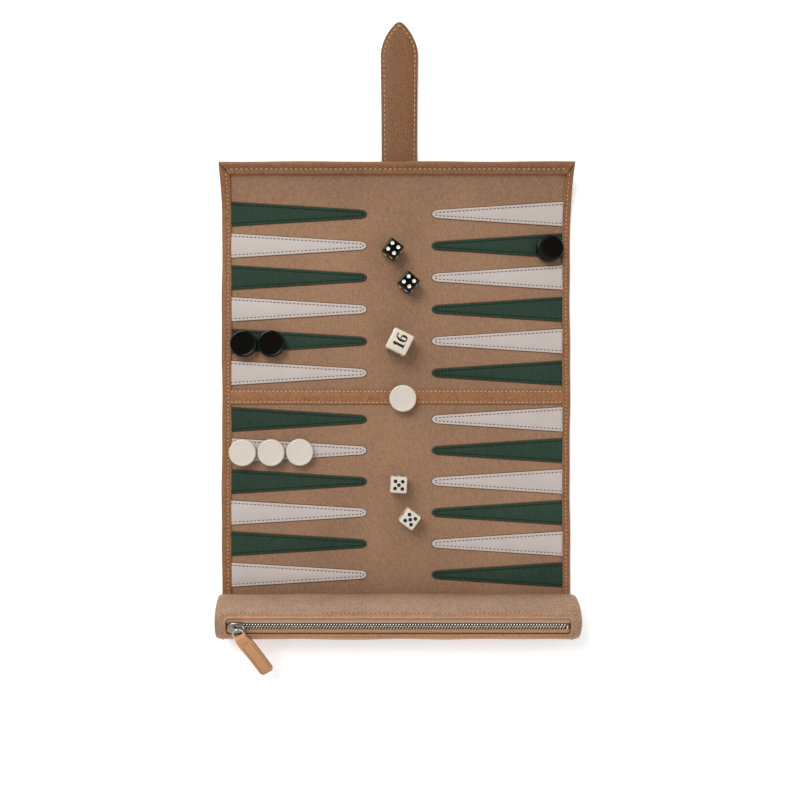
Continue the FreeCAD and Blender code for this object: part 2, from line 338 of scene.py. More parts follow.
# ---- materials ---------------------------------------------------------------------------------
def linear(r, g, b):
    """A display colour, 0 to 255, as the linear value that a shader takes."""
    def channel(v):
        v = v / 255.0
        return v / 12.92 if v <= 0.04045 else ((v + 0.055) / 1.055) ** 2.4
    return (channel(r), channel(g), channel(b), 1.0)


class Shader:
    """A principled material and short ways to add texture nodes to it."""

    def __init__(self, name, **values):
        self.material = bpy.data.materials.new(name)
        self.material.use_nodes = True
        self.tree = self.material.node_tree
        self.shader = self.tree.nodes["Principled BSDF"]
        for key, value in values.items():
            self.shader.inputs[key.replace("_", " ")].default_value = value
        self.coords = self.tree.nodes.new("ShaderNodeTexCoord").outputs["Object"]
        self.bump = None

    def node(self, kind, links=(), **values):
        """A node; a value goes to the input of that name, or else to the node's own setting."""
        node = self.tree.nodes.new(kind)
        for key, value in values.items():
            if key.replace("_", " ") in node.inputs:
                node.inputs[key.replace("_", " ")].default_value = value
            else:
                setattr(node, key, value)
        for key, source in dict(links).items():
            self.tree.links.new(source, node.inputs[key])
        return node

    def feed(self, socket, value):
        """Sets a socket's value, or links it when the value is another node's output."""
        if isinstance(value, (int, float, tuple)):
            socket.default_value = value
        elif value is not None:
            self.tree.links.new(value, socket)

    def noise(self, scale, detail=3.0, rough=0.5, vector=None):
        return self.node("ShaderNodeTexNoise", {"Vector": vector or self.coords}, Scale=scale, Detail=detail,
                         Roughness=rough).outputs["Fac"]

    def voronoi(self, scale, randomness=1.0, vector=None, space="3D"):
        return self.node("ShaderNodeTexVoronoi", {"Vector": vector or self.coords}, voronoi_dimensions=space,
                         Scale=scale, Randomness=randomness).outputs["Distance"]

    def turned(self, degrees, stretch=(1, 1, 1)):
        turn = (0, 0, math.radians(degrees))
        return self.node("ShaderNodeMapping", {"Vector": self.coords}, Rotation=turn,
                         Scale=stretch).outputs["Vector"]

    def wave(self, scale, vector, distortion):
        return self.node("ShaderNodeTexWave", {"Vector": vector}, bands_direction="X", Scale=scale,
                         Distortion=distortion, Detail=2.0, Detail_Scale=1.4).outputs["Fac"]

    def math(self, operation, a, b):
        node = self.node("ShaderNodeMath", operation=operation)
        self.feed(node.inputs[0], a)
        self.feed(node.inputs[1], b)
        return node.outputs[0]

    def ramp(self, factor, *stops):
        node = self.node("ShaderNodeValToRGB", {"Fac": factor})
        while len(node.color_ramp.elements) < len(stops):
            node.color_ramp.elements.new(0.5)
        for element, (place, colour) in zip(node.color_ramp.elements, stops):
            element.position = place
            element.color = colour
        return node.outputs["Color"]

    def shades(self, factor, colour, *stops):
        """A ramp of one colour's darker and lighter shades."""
        return self.ramp(factor, *[(place, darker(colour, share)) for place, share in stops])

    def mix(self, factor, a, b, blend="MIX"):
        node = self.node("ShaderNodeMix", data_type="RGBA", blend_type=blend)
        for index, value in ((0, factor), (6, a), (7, b)):
            self.feed(node.inputs[index], value)
        return node.outputs[2]

    def painted_front_light(self, base, start, end, tint):
        """Painted light: multiplies the colour by a warm tint towards the pouch's front, between two places
        along Y, for the warm light on the lower front.
        """
        place = self.node("ShaderNodeSeparateXYZ", {"Vector": self.coords})
        share = self.node("ShaderNodeMapRange", {"Value": place.outputs["Y"]}, From_Min=start, From_Max=end)
        return self.mix(share.outputs["Result"], base, self.mix(1.0, base, tint, "MULTIPLY"))

    def colour(self, source):
        self.tree.links.new(source, self.shader.inputs["Base Color"])

    def rough(self, factor, low, high):
        node = self.node("ShaderNodeMapRange", {"Value": factor}, To_Min=low, To_Max=high)
        self.tree.links.new(node.outputs["Result"], self.shader.inputs["Roughness"])

    def relief(self, height, distance, strength=1.0):
        """Adds a bump; several are chained."""
        links = {"Height": height}
        if self.bump:
            links["Normal"] = self.bump
        bump = self.node("ShaderNodeBump", links, Distance=distance, Strength=strength)
        self.bump = bump.outputs["Normal"]
        self.tree.links.new(self.bump, self.shader.inputs["Normal"])


def darker(colour, share):
    return tuple(c * share for c in colour[:3]) + (1.0,)


def grain_leather(name, colour, turn, pitch, depth, grid=False, front=None):
    """Grained leather: small beads of hide between creases, in a grid or irregular; the colour is lighter on
    the beads and darker in the creases, partly the hide's grain and partly painted highlight and shade.
    """
    s = Shader(name, Specular_IOR_Level=0.30)
    if grid:
        cells = s.voronoi(1.0 / pitch, 0.38, s.turned(turn, (1.0, 1.2, 1.0)), "2D")
    else:
        cells = s.voronoi(1.0 / pitch, 0.8, s.turned(turn, (1.0, 1.25, 1.0)))
    beads = s.math("SUBTRACT", 1.0, s.math("MULTIPLY", cells, 1.25))
    pores = s.voronoi(1500.0)
    dye = s.noise(32.0, 5.0, 0.62)
    worn = s.noise(240.0, 3.0, 0.6)
    base = s.shades(dye, colour, (0.28, 0.82), (0.52, 1.0), (0.78, 1.15))
    # Lighter beads and darker creases: partly grain colour, partly painted highlight on the beads and
    # painted shade in the creases.
    base = s.mix(0.75 * depth, base, s.shades(beads, colour, (0.18, 0.40), (0.75, 1.42)))
    base = s.mix(0.25, base, s.shades(worn, colour, (0.35, 0.72), (0.65, 1.28)))
    # front, when given, paints warm light on the pouch's lower front into the colour.
    s.colour(s.painted_front_light(base, *front) if front else base)
    s.rough(worn, 0.42, 0.60)
    s.relief(beads, 0.20 * MM * depth, 0.8)
    s.relief(pores, 0.06 * MM, 0.5)
    return s.material


def suede(name, colour, nap=1.0, contrast=1.0):
    """Brushed suede: patches where the nap lies differently, fibre speckle, and a soft sheen."""
    s = Shader(name, Roughness=0.95, Sheen_Weight=0.28, Sheen_Roughness=0.6, Specular_IOR_Level=0.12)
    tint = tuple(min(1.0, c * 1.6 + 0.1) for c in colour[:3])
    s.shader.inputs["Sheen Tint"].default_value = tint + (1.0,)
    patches = s.noise(13.0, 4.0, 0.50, s.turned(20, (1.0, 0.7, 1.0)))
    fibre = s.noise(1000.0 * nap, 3.0, 0.75)
    brushed = s.noise(420.0 * nap, 4.0, 0.7, s.turned(35, (1.0, 0.6, 1.0)))
    low = 1.0 - 0.30 * contrast
    high = 1.0 + 0.28 * contrast
    base = s.shades(patches, colour, (0.36, low), (0.52, 1.0), (0.68, high))
    base = s.mix(0.45, base, s.shades(fibre, colour, (0.36, 0.36), (0.64, 1.66)))
    base = s.mix(0.38, base, s.shades(brushed, colour, (0.34, 0.72), (0.66, 1.28)))
    s.colour(base)
    s.relief(fibre, 0.16 * MM, 0.8)
    s.relief(brushed, 0.10 * MM, 0.5)
    return s.material


def smooth_leather(name, colour):
    """Fine-grained finished leather with small creases."""
    s = Shader(name, Specular_IOR_Level=0.32)
    pores = s.voronoi(1100.0)
    creases = s.noise(120.0, 4.0, 0.6)
    dye = s.noise(45.0, 4.0, 0.6)
    base = s.shades(dye, colour, (0.30, 0.93), (0.55, 1.0), (0.80, 1.05))
    base = s.mix(0.2, base, s.shades(pores, colour, (0.10, 0.86), (0.60, 1.04)))
    s.colour(base)
    s.rough(creases, 0.48, 0.66)
    s.relief(pores, 0.05 * MM, 0.5)
    s.relief(creases, 0.10 * MM, 0.4)
    return s.material


def thread(name, colour):
    s = Shader(name, Roughness=0.7, Specular_IOR_Level=0.25)
    twist = s.wave(900.0, s.turned(50), 0.4)
    s.colour(s.shades(twist, colour, (0.2, 0.72), (0.7, 1.08)))
    s.relief(twist, 0.05 * MM, 0.6)
    return s.material


def metal(name, colour, roughness=(0.16, 0.34)):
    s = Shader(name, Metallic=1.0)
    wear = s.noise(420.0, 4.0, 0.65)
    fine = s.noise(2600.0, 2.0, 0.5, s.turned(0, (1.0, 0.12, 1.0)))
    s.colour(s.shades(wear, colour, (0.3, 0.82), (0.7, 1.0)))
    s.rough(fine, *roughness)
    s.relief(fine, 0.01 * MM, 0.4)
    return s.material


def resin(name, colour, roughness=(0.10, 0.22), depth=0.06, coat=0.35, gloss=0.5):
    """Polished cast resin with a slightly uneven polish and faint clouding."""
    s = Shader(name, Coat_Weight=coat, Coat_Roughness=0.06, Specular_IOR_Level=gloss)
    cloud = s.noise(160.0, 4.0, 0.55)
    polish = s.noise(520.0, 3.0, 0.5)
    s.colour(s.shades(cloud, colour, (0.3, 1.0 - depth), (0.7, 1.0 + depth)))
    s.rough(polish, *roughness)
    s.relief(polish, 0.012 * MM, 0.3)
    return s.material


def tape_cloth(name, colour):
    """Zip tape: a fine herringbone rib along the zip."""
    s = Shader(name, Roughness=0.85, Sheen_Weight=0.2, Specular_IOR_Level=0.15)
    weave = s.math("MAXIMUM", s.wave(520.0, s.turned(18), 0.3), s.wave(520.0, s.turned(-18), 0.3))
    base = s.shades(weave, colour, (0.2, 0.70), (0.8, 1.10))
    # The tape's front side is warmed: painted warm light, as on the pouch's front.
    s.colour(s.painted_front_light(base, ZIP_Y + 1 * MM, ZIP_Y - 4 * MM, (1.25, 1.0, 0.72, 1.0)))
    s.relief(weave, 0.12 * MM, 0.8)
    return s.material


COVER = grain_leather("cover_grain", linear(139, 94, 61), 4.0, 1.25 * MM, 0.85)
BAR_LEATHER = grain_leather("bar_grain", linear(148, 101, 66), 8.0, 1.2 * MM, 0.8)
STRAP_LEATHER = grain_leather("strap_grain", linear(118, 78, 47), 3.0, 1.5 * MM, 1.3, grid=True)
# The pouch leather's lower front is lighter and warmer: painted warm light, not the hide's colour.
POUCH_LEATHER = grain_leather("pouch_grain", linear(158, 127, 103), 10.0, 1.1 * MM, 0.5,
                              front=(ZIP_Y - 4 * MM, ZIP_Y - 9 * MM, (1.55, 1.25, 0.95, 1.0)))
LIP_LEATHER = grain_leather("lip_grain", linear(182, 132, 92), 10.0, 1.25 * MM, 0.5)
TAB_LEATHER = smooth_leather("tab_leather", linear(198, 146, 100))
# Dark brown: paint on the tab's cut edges, and painted shade on the zip window's inner walls and on the bed
# under the teeth.
EDGE_PAINT_AND_SHADE = smooth_leather("edge_paint", linear(92, 58, 38))
SUEDE = suede("playing_suede", linear(141, 109, 85))
GREEN = suede("green_suede", linear(42, 60, 48), 1.1, 1.1)
# Darker suede round each point: painted shadow under the point's edge, partly the nap pressed down by its
# seam.
PRESSED_NAP_AND_SHADOW = suede("pressed_nap", linear(104, 72, 50))
WHITE = smooth_leather("white_leather", linear(186, 175, 170))
CREAM_THREAD = thread("cream_thread", linear(212, 176, 138))
GREEN_THREAD = thread("green_thread", linear(6, 13, 10))
GREY_THREAD = thread("grey_thread", linear(92, 78, 70))
TAN_THREAD = thread("tan_thread", linear(196, 160, 124))
# Needle holes, darker than the leather round them: painted shade in the holes.
HOLE_SHADE = thread("needle_hole", linear(78, 48, 30))
PALE_HOLE_SHADE = thread("pale_needle_hole", linear(186, 175, 167))
GREEN_HOLE_SHADE = thread("green_needle_hole", linear(30, 50, 39))
SILVER = metal("zip_silver", linear(206, 199, 190))
CHROME = metal("ring_chrome", linear(214, 210, 204), (0.10, 0.22))
TAPE = tape_cloth("zip_tape_cloth", linear(176, 146, 120))
BLACK = resin("black_resin", linear(8, 6, 4), (0.10, 0.20), 0.15, 0.05, 0.28)
IVORY = resin("ivory_resin", linear(206, 196, 184), (0.28, 0.42), 0.03, 0.15)
DIE_IVORY = resin("die_ivory", linear(210, 201, 188), (0.22, 0.36), 0.03, 0.2)
NICKEL = metal("slider_nickel", linear(168, 163, 156), (0.14, 0.28))
CUBE_IVORY = resin("cube_ivory", linear(214, 201, 184), (0.25, 0.38), 0.03, 0.2)
PIP_WHITE = resin("pip_white", linear(236, 230, 220), (0.2, 0.3), 0.02)
PIP_BLACK = resin("pip_black", linear(9, 8, 7), (0.40, 0.55), 0.1, 0.0)


# ---- mat: cover, suede, binding stitches -------------------------------------------------------
def section_steps(y0, y1, fold):
    """Places along a section where its rings lie, closer together around the fold."""
    steps = list(np.linspace(y0, y1, 9))
    if fold is not None:
        steps += [y for y in np.linspace(fold - 7 * MM, fold + 7 * MM, 15) if y0 < y < y1]
    steps = sorted(steps)
    return steps[:1] + [b for a, b in zip(steps, steps[1:]) if b - a > 0.05 * MM]


def seam_x(y, side):
    return side * (HALF_WIDTH - BINDING[side] + SEAM_INSET + 0.5 * edge_wobble(y, side))


LIP_SHAPES = (((0.0, 2.18), (0.03, 2.95), (0.3, 3.2), (1.1, 3.28)),  # the turned edge's inner side
              ((-0.7, 3.2), (-0.25, 2.86), (0.25, 2.86), (0.7, 3.16)),  # the groove of its seam
              ((-1.1, 3.05), (-0.35, 2.62), (0.0, 1.9), (0.0, 1.1), (-0.3, 0.4), (-1.1, 0.05)))


def cover_profile(y):
    """The cover's section as a loop of (x, height): underside, rolled edges and the two turned lips."""
    def lip(side):
        out = HALF_WIDTH + edge_wobble(y, side)
        inner = HALF_WIDTH - BINDING[side] + 0.6 * edge_wobble(y * 1.3, side + 2)
        seam = abs(seam_x(y, side))
        return [(side * (line + x * MM), h * MM) for line, shape in zip((inner, seam, out), LIP_SHAPES)
                for x, h in shape]
    right = lip(1)
    left = lip(-1)
    under = [(x, 0.0) for x in np.linspace(0.9, -0.9, 13) * HALF_WIDTH]
    inside = [(x, 1.15 * MM) for x in np.linspace(-0.93, 0.93, 7) * HALF_WIDTH]
    return right + under + left[::-1] + inside


def seam_place(y0, side):
    """Places along the side seam for stitch_line."""
    def place(distance):
        y = y0 + distance
        return on_mat(seam_x(y, side), y, 2.98 * MM), mat_up(y)
    return place


def cover_section(name, y0, y1, fold):
    builder = Builder()
    builder.loft([[on_mat(x, y, h) for x, h in cover_profile(y)] for y in section_steps(y0, y1, fold)])
    for side in (-1, 1):
        stitch_line(builder, seam_place(y0, side), y1 - y0, *SIDE_STITCH)
    return builder.object(name, COVER, CREAM_THREAD, HOLE_SHADE)


def suede_section(name, y0, y1, fold):
    """The lining between the turned lips, very slightly uneven where the hide was stretched."""
    builder = Builder()
    columns = np.linspace(-1, 1, 61) * (HALF_WIDTH - SUEDE_EDGE)

    def height(x, y):
        lump = noise.noise(Vector((x * 28, y * 28, 3.0)))
        return SUEDE_TOP - 0.06 * MM + 0.08 * MM * lump
    rings = []
    for y in section_steps(y0, y1, fold):
        top = [on_mat(x, y, height(x, y)) for x in columns]
        bottom = [on_mat(x, y, 1.25 * MM) for x in columns[::-1]]
        rings.append(top + bottom)
    builder.loft(rings)
    return builder.object(name, SUEDE)


def section_span(index):
    """Where section 0 to 12 of the mat starts and ends along Y, and its fold."""
    y1 = MAT_END if index == 0 else ROW_CENTRES[index - 1]
    y0 = POUCH_FOLD - POUCH_TUCK if index == ROWS else ROW_CENTRES[index]
    return y0, y1, None if index == 0 else FOLDS[index - 1]


def bend(piece):
    """Bakes a section's placement into its mesh."""
    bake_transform(piece)


def turned_end(lip):
    """The leather that is turned over the curled end, from one corner to the other."""
    profile = [(0.0, 2.18), (0.02, 2.98), (0.4, 3.3), (1.2, 3.38), (3.4, 3.36), (3.9, 3.0), (4.5, 3.0),
               (5.0, 3.34), (7.4, 3.36), (8.7, 2.95), (9.3, 1.9), (9.3, 1.1), (8.9, 0.35), (8.0, 0.0),
               (3.0, 0.0), (2.9, 1.2)]
    rings = []
    for x in np.linspace(-1, 1, 61):
        half = HALF_WIDTH - BINDING[-1 if x < 0 else 1]
        ring = []
        for along, height in profile:
            share = min(1.0, along * MM / TOP_BINDING)
            wave = 0.2 * MM * math.sin(x * 9.0) * share
            reach = half + (HALF_WIDTH - half) * share
            ring.append(on_mat(x * reach, lip + along * MM + wave, height * MM))
        rings.append(ring)
    return rings


def top_cover(name):
    """The curled end: the edge is turned over on three sides and mitred at the corners."""
    y0 = ROW_CENTRES[0]
    lip = MAT_END - TOP_BINDING
    builder = Builder()
    steps = np.linspace(y0, MAT_END - 1.2 * MM, 16)
    builder.loft([[on_mat(x, y, h) for x, h in cover_profile(y)] for y in steps])
    builder.loft(turned_end(lip))
    for side in (-1, 1):
        stitch_line(builder, seam_place(y0, side), lip + 1.5 * MM - y0, *SIDE_STITCH)
        mitre(builder, side, lip)
    seam = lip + 4.2 * MM
    corner = 7.5 * MM

    def across(distance):
        return on_mat(corner - HALF_WIDTH + distance, seam, 3.12 * MM), mat_up(seam)
    stitch_line(builder, across, 2 * HALF_WIDTH - 14.0 * MM, *TOP_STITCH)
    return builder.object(name, COVER, CREAM_THREAD, HOLE_SHADE)


def mitre(builder, side, lip):
    """The slanting join where the top and side edges are folded over each other, drawn as a thin strip in
    the needle holes' dark brown: painted shade in the join.
    """
    inner = Vector((side * (HALF_WIDTH - BINDING[side]), lip, 0))
    outer = Vector((side * (HALF_WIDTH - 0.8 * MM), MAT_END - 1.0 * MM, 0))
    along = (outer - inner).normalized()
    across = Vector((-along.y, along.x, 0))
    rings = []
    for t in np.linspace(-0.06, 1.0, 12):
        centre = inner.lerp(outer, t)
        half = 0.42 * MM * (1.5 - t)
        top = 3.30 * MM + 0.14 * MM * math.sin(math.pi * min(1.0, 1.1 - t))
        ring = []
        for w, h in ((-1.0, -0.5 * MM), (-0.7, 0.0), (0.7, 0.0), (1.0, -0.5 * MM)):
            p = centre + across * (w * half)
            ring.append(on_mat(p.x, p.y, top + h))
        rings.append(ring)
    builder.loft(rings, 2)


def make_mat():
    for index in range(ROWS + 1):
        y0, y1, fold = section_span(index)
        name = "cover_section_%02d" % index
        cover = cover_section(name, y0, y1, fold) if index else top_cover(name)
        top = y1 if index else MAT_END - TOP_BINDING + 2 * MM
        lining = suede_section("suede_section_%02d" % index, y0, top, fold)
        for piece in (cover, lining):
            if index:
                bend(piece)
            else:
                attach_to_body(piece, "row_01")
        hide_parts(*["mat_row_%02d" % row for row in (index, index + 1) if 1 <= row <= ROWS])


# ---- points ------------------------------------------------------------------------------------
def point_line(base_x, tip_x, inset, steps=44, arc_steps=14):
    """One long side and half of the round tip, from the base, at a distance inside the outline."""
    side = 1 if tip_x > base_x else -1
    reach = abs(tip_x - base_x) - POINT_TIP_RADIUS
    span = math.hypot(reach, POINT_HALF_BASE)
    tilt = math.atan2(POINT_HALF_BASE, reach) - math.asin(POINT_TIP_RADIUS / span)
    radius = max(0.05 * MM, POINT_TIP_RADIUS - inset)
    touch_x = reach + radius * math.sin(tilt)
    touch_y = radius * math.cos(tilt)
    base_y = touch_y + touch_x * math.tan(tilt)
    turn_x = touch_x - TIP_STRETCH
    turn_y = touch_y + TIP_STRETCH * math.tan(tilt)
    points = [(turn_x * t, base_y + (turn_y - base_y) * t) for t in np.linspace(0, 1, steps)]
    nose = reach + radius - turn_x
    for angle in np.linspace(math.pi / 2, 0, arc_steps)[1:]:
        points.append((turn_x + nose * math.cos(angle), turn_y * math.sin(angle) ** 0.9))
    return [(base_x + side * x, y) for x, y in points]


def both_sides(line):
    """A line of (x, y) and its mirror image back to the start, with each y's sign kept apart."""
    return [(x, y, 1) for x, y in line] + [(x, y, -1) for x, y in line[::-1][1:]]


POINT_FINISH = {
    "green": (GREEN, GREEN_THREAD, GREEN_HOLE_SHADE, PRESSED_NAP_AND_SHADOW),
    "white": (WHITE, GREY_THREAD, PALE_HOLE_SHADE, PRESSED_NAP_AND_SHADOW),
}
POINT_FUZZ = {"green": 0.10 * MM, "white": 0.03 * MM}  # how ragged the cut edge is
POINT_PROFILE = ((0.0, 2.1), (0.0, 2.62), (0.16, 2.86), (0.5, 2.96), (1.3, 2.97), (1.65, 2.86), (1.9, 2.74),
                 (2.15, 2.86), (2.6, 2.96))  # inset and height, with the stitched groove
POINT_BORDER = ((-0.5, 2.24), (0.1, 2.34), (0.1, 2.1), (-0.5, 2.1))  # a darker strip round the point: painted shadow under its edge, partly the nap pressed down there


def point_body(builder, base_x, tip_x, centre, fuzz, seed):
    """The leather of one point: its edge, the groove along the stitches, and flat faces across it."""
    rings = []
    for inset, height in POINT_PROFILE:
        ring = []
        for x, y, sign in both_sides(point_line(base_x, tip_x, inset * MM)):
            rag = fuzz * noise.noise(Vector((x * 900, sign * 7.0, seed)))
            ring.append(on_mat(x, centre + sign * (y + rag), height * MM))
        rings.append(ring)
    builder.loft(rings, caps=False)
    last = len(rings[0]) - 1
    faces = [(i, i + 1, last - i - 1, last - i) for i in range(last // 2 - 1)]
    faces.append((last // 2 - 1, last // 2, last // 2 + 1))
    builder.add(rings[-1], faces)
    builder.add(rings[0], faces)


def make_point(row, colour):
    name = "%s_point_%02d" % (colour, row)
    low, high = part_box(name)
    base_x, tip_x, side = (low.x, high.x, 1) if low.x < -HALF_WIDTH / 2 else (high.x, low.x, -1)
    centre = ROW_CENTRES[row - 1]
    builder = Builder()
    point_body(builder, base_x - side * POINT_REACH, tip_x, centre, POINT_FUZZ[colour], row * 3.7 + side)
    border = []
    for inset, height in POINT_BORDER:
        outline = both_sides(point_line(base_x, tip_x, inset * MM))
        border.append([on_mat(x, centre + sign * y, height * MM) for x, y, sign in outline])
    # The strip round the point takes the darker suede: painted shadow under its edge.
    builder.loft(list(zip(*border)), 3)
    seam = both_sides(point_line(base_x, tip_x, STITCH_INSET, 60, 12))
    route = Route([Vector((x, centre + sign * y, 0)) for x, y, sign in seam])

    def place(distance):
        p = route.at(distance)
        return on_mat(p.x, p.y, 2.84 * MM), mat_up(p.y)
    stitch_line(builder, place, route.length, *POINT_STITCH[colour])
    piece = builder.object(name + "_leather", *POINT_FINISH[colour])
    weld(piece)
    attach(piece, "row_%02d" % row, name)


def make_bar():
    """The strip across the middle, with a groove and a row of stitches along each side."""
    low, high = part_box("bar_strip")
    half = high.y
    seam = half - 1.5 * MM
    section = [(0.0, 2.1), (0.0, 2.85), (0.3, 3.1), (1.0, 3.15), (1.5, 2.95), (2.0, 3.14)]
    section = [(y * MM - half, h) for y, h in section]
    section += [(-y, h) for y, h in section[::-1]]

    def wave(x):
        return 0.10 * MM * math.sin(x * 55.0)
    builder = Builder()
    builder.loft([[Vector((x, y + wave(x), h * MM)) for y, h in section]
                  for x in np.linspace(low.x - 0.8 * MM, high.x + 0.8 * MM, 90)])
    for side in (-1, 1):
        def place(distance, side=side):
            x = low.x + distance
            return Vector((x, side * seam + wave(x), 3.06 * MM)), UP
        stitch_line(builder, place, high.x - low.x, *BAR_STITCH)
    piece = builder.object("bar_strip_leather", BAR_LEATHER, CREAM_THREAD, HOLE_SHADE)
    attach(piece, "row_07", "bar_strip")


# ---- strap -------------------------------------------------------------------------------------
STRAP_LOW, STRAP_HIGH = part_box("strap_tip")
STRAP_X = (STRAP_LOW.x + STRAP_HIGH.x) / 2
STRAP_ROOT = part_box("strap_base")[0].y
STRAP_END = STRAP_HIGH.y
STRAP_SHOULDER = STRAP_END - 25 * MM
STRAP_FLARE_START = 170 * MM
STRAP_SEAM = 2.3 * MM  # stitches to the strap's edge
STRAP_SECTION = ((1.0, 1.0), (1.0, 1.7), (0.975, 2.15), (0.93, 2.32), (0.86, 2.34), (0.82, 2.16),
                 (0.78, 2.34), (0.4, 2.38), (0.0, 2.4))  # share of the half width, height in mm
STRAP_UNDER = ((0.98, 0.3), (0.93, 0.03), (0.0, 0.0))


def strap_half(y, inset=0.0):
    """Half width of the strap: slightly wider towards the head, then a pointed arch."""
    grow = min(1.0, max(0.0, (y - STRAP_FLARE_START) / (STRAP_SHOULDER - STRAP_FLARE_START)))
    half = 13.2 * MM + 0.75 * MM * grow ** 1.5
    if y > STRAP_SHOULDER:
        t = (y - STRAP_SHOULDER) / (STRAP_END - inset - STRAP_SHOULDER)
        half *= max(0.0, 1 - t ** 1.75) ** 0.74
    return max(0.0, half - inset)


def strap_ring(y):
    """The strap's section at y, thinner where its tip gets narrow."""
    half = strap_half(y)
    taper = min(1.0, half / (3.0 * MM))
    upper = [(-x, h) for x, h in STRAP_SECTION] + list(STRAP_SECTION[-2::-1])
    under = list(STRAP_UNDER) + [(-x, h) for x, h in STRAP_UNDER[-2::-1]]
    return [Vector((STRAP_X + x * half, y, max(0.0, 1.2 + (h - 1.2) * taper) * MM))
            for x, h in upper + under]


def strap_part(name, y0, y1):
    fine = STRAP_END - 26 * MM
    steps = list(np.linspace(y0, y1, 40))
    if y1 > fine:
        arch = np.linspace(0.05, math.pi / 2 - 0.02, 30)
        steps = list(np.linspace(y0, fine, 24)) + [STRAP_END - 26 * MM * (1 - math.sin(t)) for t in arch]
    builder = Builder()
    builder.loft([strap_ring(y) for y in steps])
    edge = np.linspace(y0, min(y1, STRAP_END - 2.2 * MM), 160)
    left, right = [[Vector((STRAP_X + side * strap_half(y, STRAP_SEAM), y, 0)) for y in edge]
                   for side in (-1, 1)]
    for line in [left + right[::-1]] if y1 >= STRAP_END else [left, right]:
        route = Route(line)

        def place(distance, route=route):
            p = route.at(distance)
            return Vector((p.x, p.y, 2.32 * MM)), UP
        stitch_line(builder, place, route.length, *STRAP_STITCH)
    return builder.object(name, STRAP_LEATHER, CREAM_THREAD, HOLE_SHADE)


def make_strap():
    bends = [JOINTS[name]["pos_m"] for name in ("strap_middle_bend", "strap_tip_bend")]
    joint_1 = (STRAP_ROOT + bends[0][1]) / 2
    joint_2 = (bends[0][1] + bends[1][1]) / 2
    ends = (STRAP_ROOT, joint_1, joint_2, STRAP_END)
    bodies = ("strap_base", "strap_middle", "strap_tip")
    names = ("strap_near", "strap_middle_part", "strap_head")
    for index, (name, body) in enumerate(zip(names, bodies)):
        piece = strap_part(name, ends[index], ends[index + 1])
        if index:
            _, y, z = bends[index - 1]
            start, end = (0, y - STRAP_SOFT, z), (0, y + STRAP_SOFT, z)
            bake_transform(piece)
            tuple(start)
            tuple(end)
        else:
            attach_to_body(piece, body)
        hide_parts(body)


# ---- pouch -------------------------------------------------------------------------------------
def pouch_ring(x, inset, steps=72):
    """The tube's outline at x: an oval with a flat bottom and slack leather; its ends bulge a little."""
    end = max(0.0, 1 - (HALF_WIDTH - abs(x)) / (4.5 * MM))
    round_off = 1.0 - 0.09 * end ** 2
    at_end = min(1.0, abs(x) / HALF_WIDTH) ** 24
    ring = []
    for k in range(steps):
        angle = math.tau * k / steps
        slack = 0.45 * MM * noise.noise(Vector((x * 30, math.cos(angle) * 1.5, math.sin(angle) * 1.5)))
        depth = (POUCH_HALF_DEPTH - inset + slack) * round_off
        height = (POUCH_HALF_HEIGHT - inset + slack) * round_off
        across = depth * math.cos(angle)
        z = POUCH_CENTRE.z + height * math.sin(angle)
        bulge = 2.0 * MM * math.cos(0.85 * across / POUCH_HALF_DEPTH + 0.12) * at_end
        ring.append(Vector((x + math.copysign(bulge, x), POUCH_CENTRE.y + across, max(inset, z))))
    return ring


def zip_place(x, y, z):
    """A point of the zip's own frame: y across the zip, z out of the pouch."""
    c, s = math.cos(ZIP_TILT), math.sin(ZIP_TILT)
    return Vector((x, POUCH_CENTRE.y + ZIP_OFFSET + y * c - z * s, ZIP_TOP + y * s + z * c))


ZIP_UP = Vector((0, -math.sin(ZIP_TILT), math.cos(ZIP_TILT)))


def window_loop(grow, steps=10):
    """The zip window's rounded outline, grown outwards, as (x, y) points."""
    length, width, corner = WINDOW
    length, width, corner = length + grow, width + grow, corner + grow
    loop = []
    for cx, cy, turn in ((1, 1, 0), (-1, 1, 1), (-1, -1, 2), (1, -1, 3)):
        for k in range(steps + 1):
            angle = math.pi / 2 * (turn + k / steps)
            loop.append((cx * (length - corner) + corner * math.cos(angle),
                         cy * (width - corner) + corner * math.sin(angle)))
    return loop


def pouch_top(x, y):
    """Height of the pouch's outer surface, in the zip's frame, at (x, y) of that frame."""
    z = 0.0
    for _ in range(6):
        p = zip_place(x, y, z)
        across = (p.y - POUCH_CENTRE.y) / POUCH_HALF_DEPTH
        surface = POUCH_CENTRE.z + POUCH_HALF_HEIGHT * math.sqrt(max(0.0, 1 - across ** 2))
        z += (surface - p.z) * ZIP_UP.z
    return z


def pouch_tube(name, reach, inset):
    """A closed tube of the pouch's outline, with finer steps towards its ends."""
    builder = Builder()
    turns = np.linspace(-math.pi / 2, math.pi / 2, 60)
    builder.loft([pouch_ring(reach * math.sin(t), inset) for t in turns])
    return builder.object(name, POUCH_LEATHER)


def make_pouch():
    shell = pouch_tube("pouch_leather", HALF_WIDTH - 1.0 * MM, 0.0)
    hollow = pouch_tube("pouch_hollow", HALF_WIDTH - 2.6 * MM, 1.3 * MM)
    cut = Builder()
    cut.loft([[zip_place(x, y, z) for x, y in window_loop(0.0, 8)] for z in (-6 * MM, 6 * MM)])
    carve(shell, (hollow, cut.object("pouch_window", POUCH_LEATHER)))
    sharpen(shell, 40)
    attach(shell, "pouch", "pouch_shell")


LIP_PROFILE = ((-0.3, -1.4), (-0.5, -0.5), (-0.35, 0.2), (0.05, 0.45), (0.7, 0.42), (1.3, 0.05),
               (1.2, -0.8))  # distance out from the window, height


def on_pouch(grow, lift):
    """A closed line round the zip window, on the pouch's surface."""
    return [zip_place(x, y, pouch_top(x, y) + lift) for x, y in window_loop(grow)]


